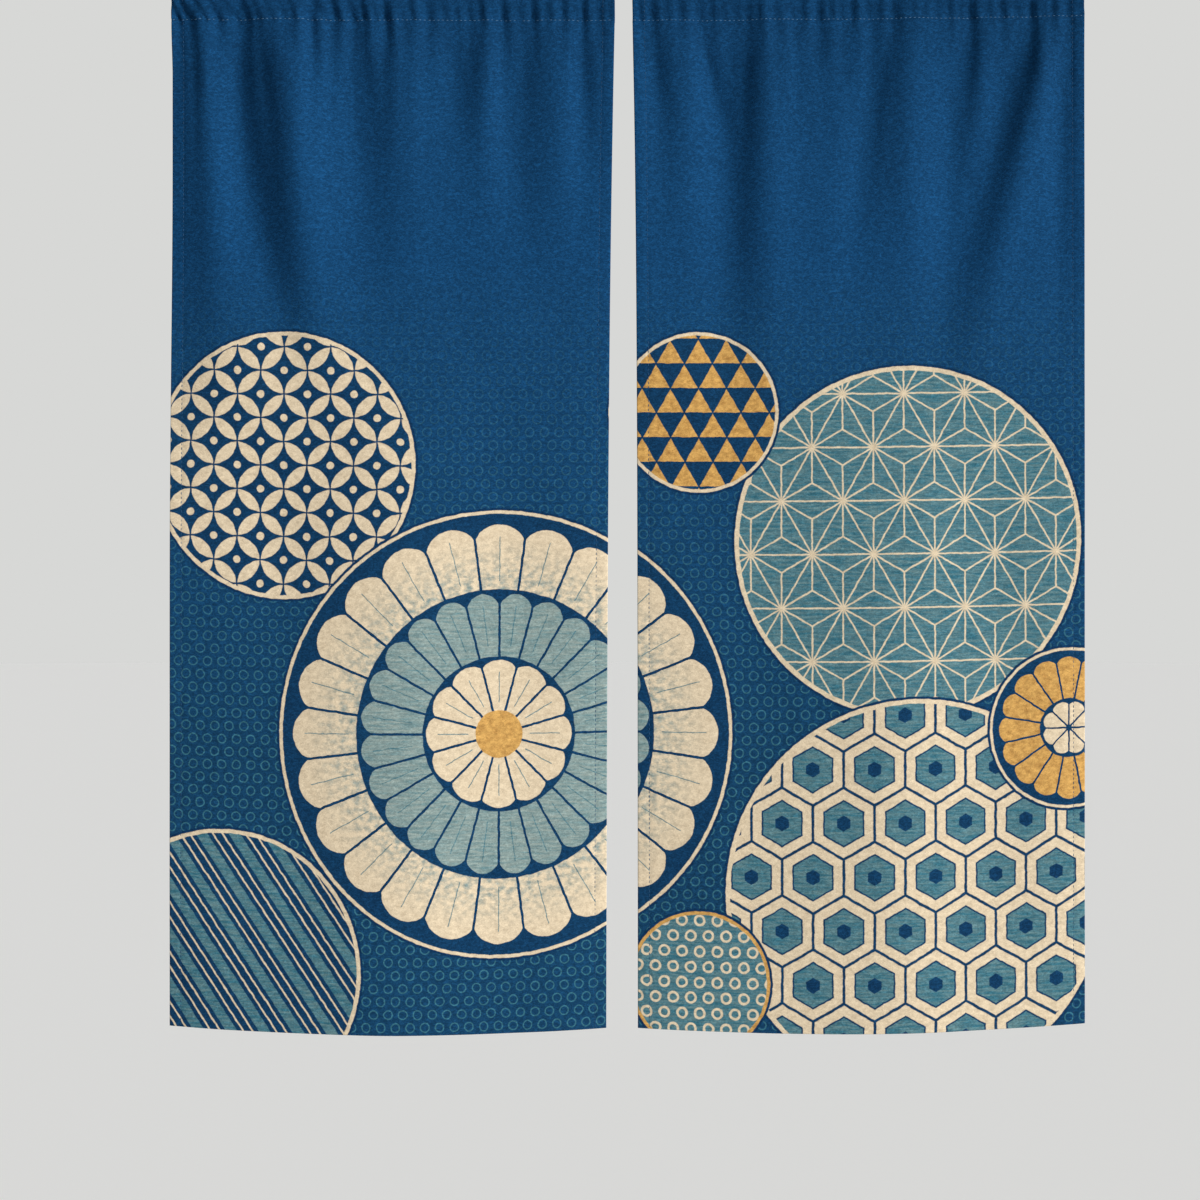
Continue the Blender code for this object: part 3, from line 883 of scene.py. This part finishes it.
def vein(turn, distance, count, inner, outer, shifted=False):
    """A line down the middle of each petal of such a ring, from one radius to the other."""
    wave = abs(maths("COSINE" if shifted else "SINE", turn * (count / 2)))
    aside = distance * wave * (2 / count)
    return covered(aside, FINE_LINE / 2) * beyond(distance, inner) * covered(distance, outer)


def roundel(colour, place, middle, radius, paint, rim, rim_width):
    """Prints a round field on the colour: a dark edge, a rim, and what paint() gives inside it."""
    offset = vector("SUBTRACT", place, (*middle, 0.0))
    distance = vector("LENGTH", offset)
    colour = mixed(colour, NAVY, covered(distance, radius))
    colour = mixed(colour, rim, covered(distance, radius - OUTLINE))
    return mixed(colour, paint(offset, distance), covered(distance, radius - rim_width))


def printed_cloth():
    """The ground, the roundels, the slubs of the yarn over both, and the paler back."""
    shading = Shading("printed_cloth")
    flat = shading.add("UVMap", {"uv_map": "flat"}, {})
    back = shading.add("Attribute", {"attribute_name": "back"}, {}, 2)

    # Where the ink lies: the cloth's own place, and a little aside of it, so that the printed edges stray
    stray = shading.add("TexNoise", {}, {"Vector": flat, "Scale": EDGE_PATCHES, "Detail": 2.0}, 1)
    shift = vector("SCALE", vector("SUBTRACT", stray, (0.5, 0.5, 0.5)), EDGE_WANDERS)
    place = vector("MULTIPLY", vector("ADD", flat, shift), (1.0, 1.0, 0.0))

    # Yarn: short slubs, the wandering lines between them, a finer grain across both, and soft patches
    slubs = noise(shading, flat, *SLUBS)
    lines = ramp(abs(noise(shading, flat, *BETWEEN_SLUBS) - 0.5), LINE_REACH, 0.0)
    grain = noise(shading, flat, *GRAIN)
    patches = noise(shading, flat, *PATCHES)

    # Inks: the teals are streaked along the weft, and the cream and gold are mottled.
    streaks = noise(shading, place, *STREAKS)
    mottled = ramp(noise(shading, flat, *MOTTLE), *MOTTLED)
    teal = mixed(TEAL, GREY_TEAL, ramp(streaks, *TEAL_STREAKED))
    pale = mixed(GREY_TEAL, PALE_TEAL, ramp(streaks, *PALE_STREAKED))
    cream = mixed(CREAM, DULL_CREAM, mottled)
    gold = mixed(GOLD, DULL_GOLD, mottled)
    navy = mixed(NAVY, SEA_BLUE, patches)

    # The ground turns from deep blue to a greener blue downwards, where it also has a fine ring pattern.
    lower = ramp(parts(flat)[1], *GROUND_TURNS)
    ground = mixed(BLUE, SEA_BLUE, lower)
    ground = mixed(ground, TEAL, small_rings(place, *SMALL_RINGS) * lower)

    # What fills a roundel, from the offset and the distance from its middle. Two patterns are on one
    # lattice of cells, which runs through the whole cloth.
    cell = hex_cell(place, HEX)

    def leaves(offset, distance):
        return mixed(teal, cream, hemp_leaf(cell))

    def shells(offset, distance):
        joints, inner = tortoiseshell(cell)
        return mixed(mixed(cream, teal, inner), navy, joints)

    def rings(offset, distance):
        return mixed(navy, cream, linked_rings(offset))

    def triangles(offset, distance):
        return mixed(navy, gold, scales(offset))

    def dots(offset, distance):
        return mixed(teal, cream, small_rings(offset, *DOT_RINGS))

    def stripes(offset, distance):
        along = maths("PINGPONG", vector("DOT_PRODUCT", offset, ACROSS_STRIPES), STRIPE_REPEAT)
        wide, thin = covered(along, WIDE_STRIPE), line(along - THIN_STRIPE, FINE_LINE)
        return mixed(mixed(navy, teal, wide), cream, thin)

    def flower(offset, distance):
        x, y = parts(offset)
        turn = maths("ARCTAN2", y, x)
        outer = petals(turn, distance, count=24, radius=0.176, scallop=0.09, gap=0.0011)
        middle = petals(turn, distance, count=24, radius=0.118, scallop=0.11, gap=0.0010, shifted=True)
        inner = petals(turn, distance, count=12, radius=0.062, scallop=0.12, gap=0.0010)
        line_radius, half_line = FLOWER_LINE
        foot = ramp(distance, *PETALS_DARKEN) * mottled
        veins = either(
            vein(turn, distance, count=24, inner=0.128, outer=0.166),
            vein(turn, distance, count=24, inner=0.074, outer=0.108, shifted=True),
            vein(turn, distance, count=12, inner=0.026, outer=0.052),
            line(distance - line_radius, half_line),
        )
        painted = mixed(navy, mixed(cream, pale, foot), outer)
        painted = mixed(painted, navy, covered(distance, FLOWER_FIELDS[0]))
        painted = mixed(painted, pale, middle)
        painted = mixed(painted, navy, covered(distance, FLOWER_FIELDS[1]))
        painted = mixed(painted, cream, inner)
        return mixed(mixed(painted, teal, veins), gold, covered(distance, FLOWER_EYE))

    def gold_flower(offset, distance):
        x, y = parts(offset)
        turn = maths("ARCTAN2", y, x)
        outer = petals(turn, distance, count=16, radius=0.060, scallop=0.12, gap=0.0008)
        inner = petals(turn, distance, count=8, radius=0.0225, scallop=0.2, gap=0.0007, shifted=True)
        painted = mixed(mixed(navy, gold, outer), navy, covered(distance, GOLD_FLOWER_FIELD))
        return mixed(painted, cream, inner)

    # Printed in this order: (middle, radius, what fills it, colour of the rim, width of the rim)
    roundels = (
        ((0.238, -0.440), 0.150, leaves, cream, 0.0060),
        ((-0.285, -0.375), 0.115, rings, cream, 0.0055),
        ((-0.335, -0.800), 0.120, stripes, cream, 0.0055),
        ((0.245, -0.735), 0.165, shells, cream, 0.0060),
        ((0.060, -0.810), 0.062, dots, gold, 0.0050),
        ((-0.100, -0.600), 0.190, flower, cream, 0.0050),
        ((0.060, -0.330), 0.070, triangles, cream, 0.0050),
        ((0.375, -0.600), 0.070, gold_flower, cream, 0.0045),
    )
    colour = ground
    for field in roundels:
        colour = roundel(colour, place, *field)

    # The back shows the print through, weaker. The yarn shades the dark dye more than the pale inks.
    colour = mixed(colour, ground, back * BACK_FADES)
    uneven = about(maths("MAXIMUM", slubs, SLUB_FLOOR), *SLUB_SHADE) + about(grain, *GRAIN_SHADE)
    uneven = uneven + about(lines, *LINE_SHADE) + about(patches, *PATCH_SHADE)
    paleness = maths("SQRT", shading.add("RGBToBW", {}, {0: colour}))
    shown = maths("MULTIPLY_ADD", paleness, -PALE_INK_HOLDS, 1.0) * YARN_SHADES
    colour = vector("SCALE", colour, maths("MULTIPLY_ADD", uneven, shown, 1.0))
    thin_yarn, slub_adds = ROUGHNESS
    roughness = maths("MULTIPLY_ADD", slubs, slub_adds, thin_yarn)
    bump = slubs * SLUB_BUMP + grain * GRAIN_BUMP
    return shading.finish(colour, roughness, bump, BUMP_HEIGHT, **{"Specular IOR Level": GLOSS})


def sewing_thread(name, colour):
    """Twisted thread of a colour: two plies that show as fine slanted bands, with painted shade in the
    grooves between them and a random tone over it.
    """
    shading = Shading(name)
    place = shading.add("TexCoord", {}, {}, 3)
    plies = maths("SINE", vector("DOT_PRODUCT", place, PLY_SLANT))
    uneven = noise(shading, place, *THREAD_NOISE) * THREAD_NOISE_SHADE
    # Painted shade: the colour darkens in the grooves between the plies, where the bump is low, and lightens
    # on their crests. The noise adds a random tone.
    groove_shade_and_tone = maths("MULTIPLY_ADD", plies, *PLY_PAINTED_SHADE) + uneven
    groove_shaded = mixed(tuple(GROOVE_PAINTED_SHADE * x for x in colour), colour, groove_shade_and_tone)
    return shading.finish(groove_shaded, THREAD_ROUGHNESS, plies, PLY_HEIGHT)


def add_stage_piece(name, points, faces, material_name, colour):
    """A flat matt piece of the set, which isn't part of the object."""
    shading = Shading(material_name)
    speckle = noise(shading, shading.add("TexCoord", {}, {}, 3), *SPECKLE)
    mesh = bpy.data.meshes.new(name)
    mesh.from_pydata(points, [], faces)
    mesh.materials.append(shading.finish(colour, STAGE_ROUGHNESS, speckle, SPECKLE_HEIGHT))
    piece = bpy.data.objects.new(name, mesh)
    bpy.context.scene.collection.objects.link(piece)
    return piece


def add_floor():
    """A pale level disc, so wide that its far edge is lost against the surround."""
    turn = np.linspace(0, 2 * math.pi, FLOOR_SIDES + 1)
    level = np.full((len(FLOOR_RINGS), len(turn)), FLOOR_HEIGHT)
    points = np.stack([np.outer(FLOOR_RINGS, np.cos(turn)), np.outer(FLOOR_RINGS, np.sin(turn)), level], -1)
    corners, quads = points.reshape(-1, 3).tolist(), grid_quads(level.shape).tolist()
    floor = add_stage_piece("floor", corners, quads, "pale_floor", FLOOR_COLOUR)
    floor.visible_diffuse = False
    floor.visible_shadow = False


def add_flag():
    """A dark level board over the top edge, unseen, that keeps light off the top of the cloth."""
    flag = add_stage_piece("flag", FLAG_CORNERS, [(0, 1, 2, 3)], "dark_board", BOARD_COLOUR)
    flag.visible_camera = False


def add_light():
    """Soft light from the front right, a weaker one from above behind, and an even surround.

    The surround is seen in the floor's own brightness.
    """
    for name, strength, direction in SUNS:
        sun = bpy.data.lights.new(name, "SUN")
        sun.energy = strength
        sun.angle = SUN_ANGLE
        sun_object = bpy.data.objects.new(name, sun)
        sun_object.rotation_euler = Vector(direction).to_track_quat("-Z", "Y").to_euler()
        bpy.context.scene.collection.objects.link(sun_object)

    world = bpy.data.worlds.new("surround")
    bpy.context.scene.world = world
    shading = Shading(world)
    lit = shading.add("Background", {}, {"Color": SURROUND_COLOUR, "Strength": SURROUND_STRENGTH})
    seen = shading.add("Background", {}, {"Color": SEEN_COLOUR, "Strength": 1.0})
    straight = shading.add("LightPath", {}, {})
    shading.add_output(shading.add("MixShader", {}, {0: straight, 1: lit, 2: seen}), "World")


def add_camera():
    """Level with the middle of the picture, square to the printed face."""
    camera = bpy.data.cameras.new("camera")
    camera.lens = CAMERA_LENS
    camera.sensor_width = CAMERA_SENSOR
    camera_object = bpy.data.objects.new("camera", camera)
    camera_object.location = CAMERA_PLACE
    camera_object.rotation_euler = (math.pi / 2, 0, 0)
    bpy.context.scene.collection.objects.link(camera_object)
    bpy.context.scene.camera = camera_object


def main():
    """Both panels, each with its stitching, and then the set around them."""
    cloth = printed_cloth()
    pale_thread = sewing_thread("pale_thread", THREAD)
    blue_thread = sewing_thread("blue_thread", HEM_THREAD)
    for panel in PANELS:
        piece = make_cloth(panel, cloth)
        rows = (
            ("pocket_stitching_", pocket_lines(panel), THREAD_RADIUS, pale_thread),
            ("hem_stitching_", hem_lines(panel), HEM_THREAD_RADIUS, blue_thread),
        )
        sewn = [
            make_stitching(name + panel.name, panel, lines, radius, thread)
            for name, lines, radius, thread in rows
        ]
        length = round(DROP + pocket_length(SEAM_BELOW_ROD), 3)
    add_floor()
    add_flag()
    add_light()
    add_camera()
    bpy.context.scene.view_settings.view_transform = "Standard"


main()
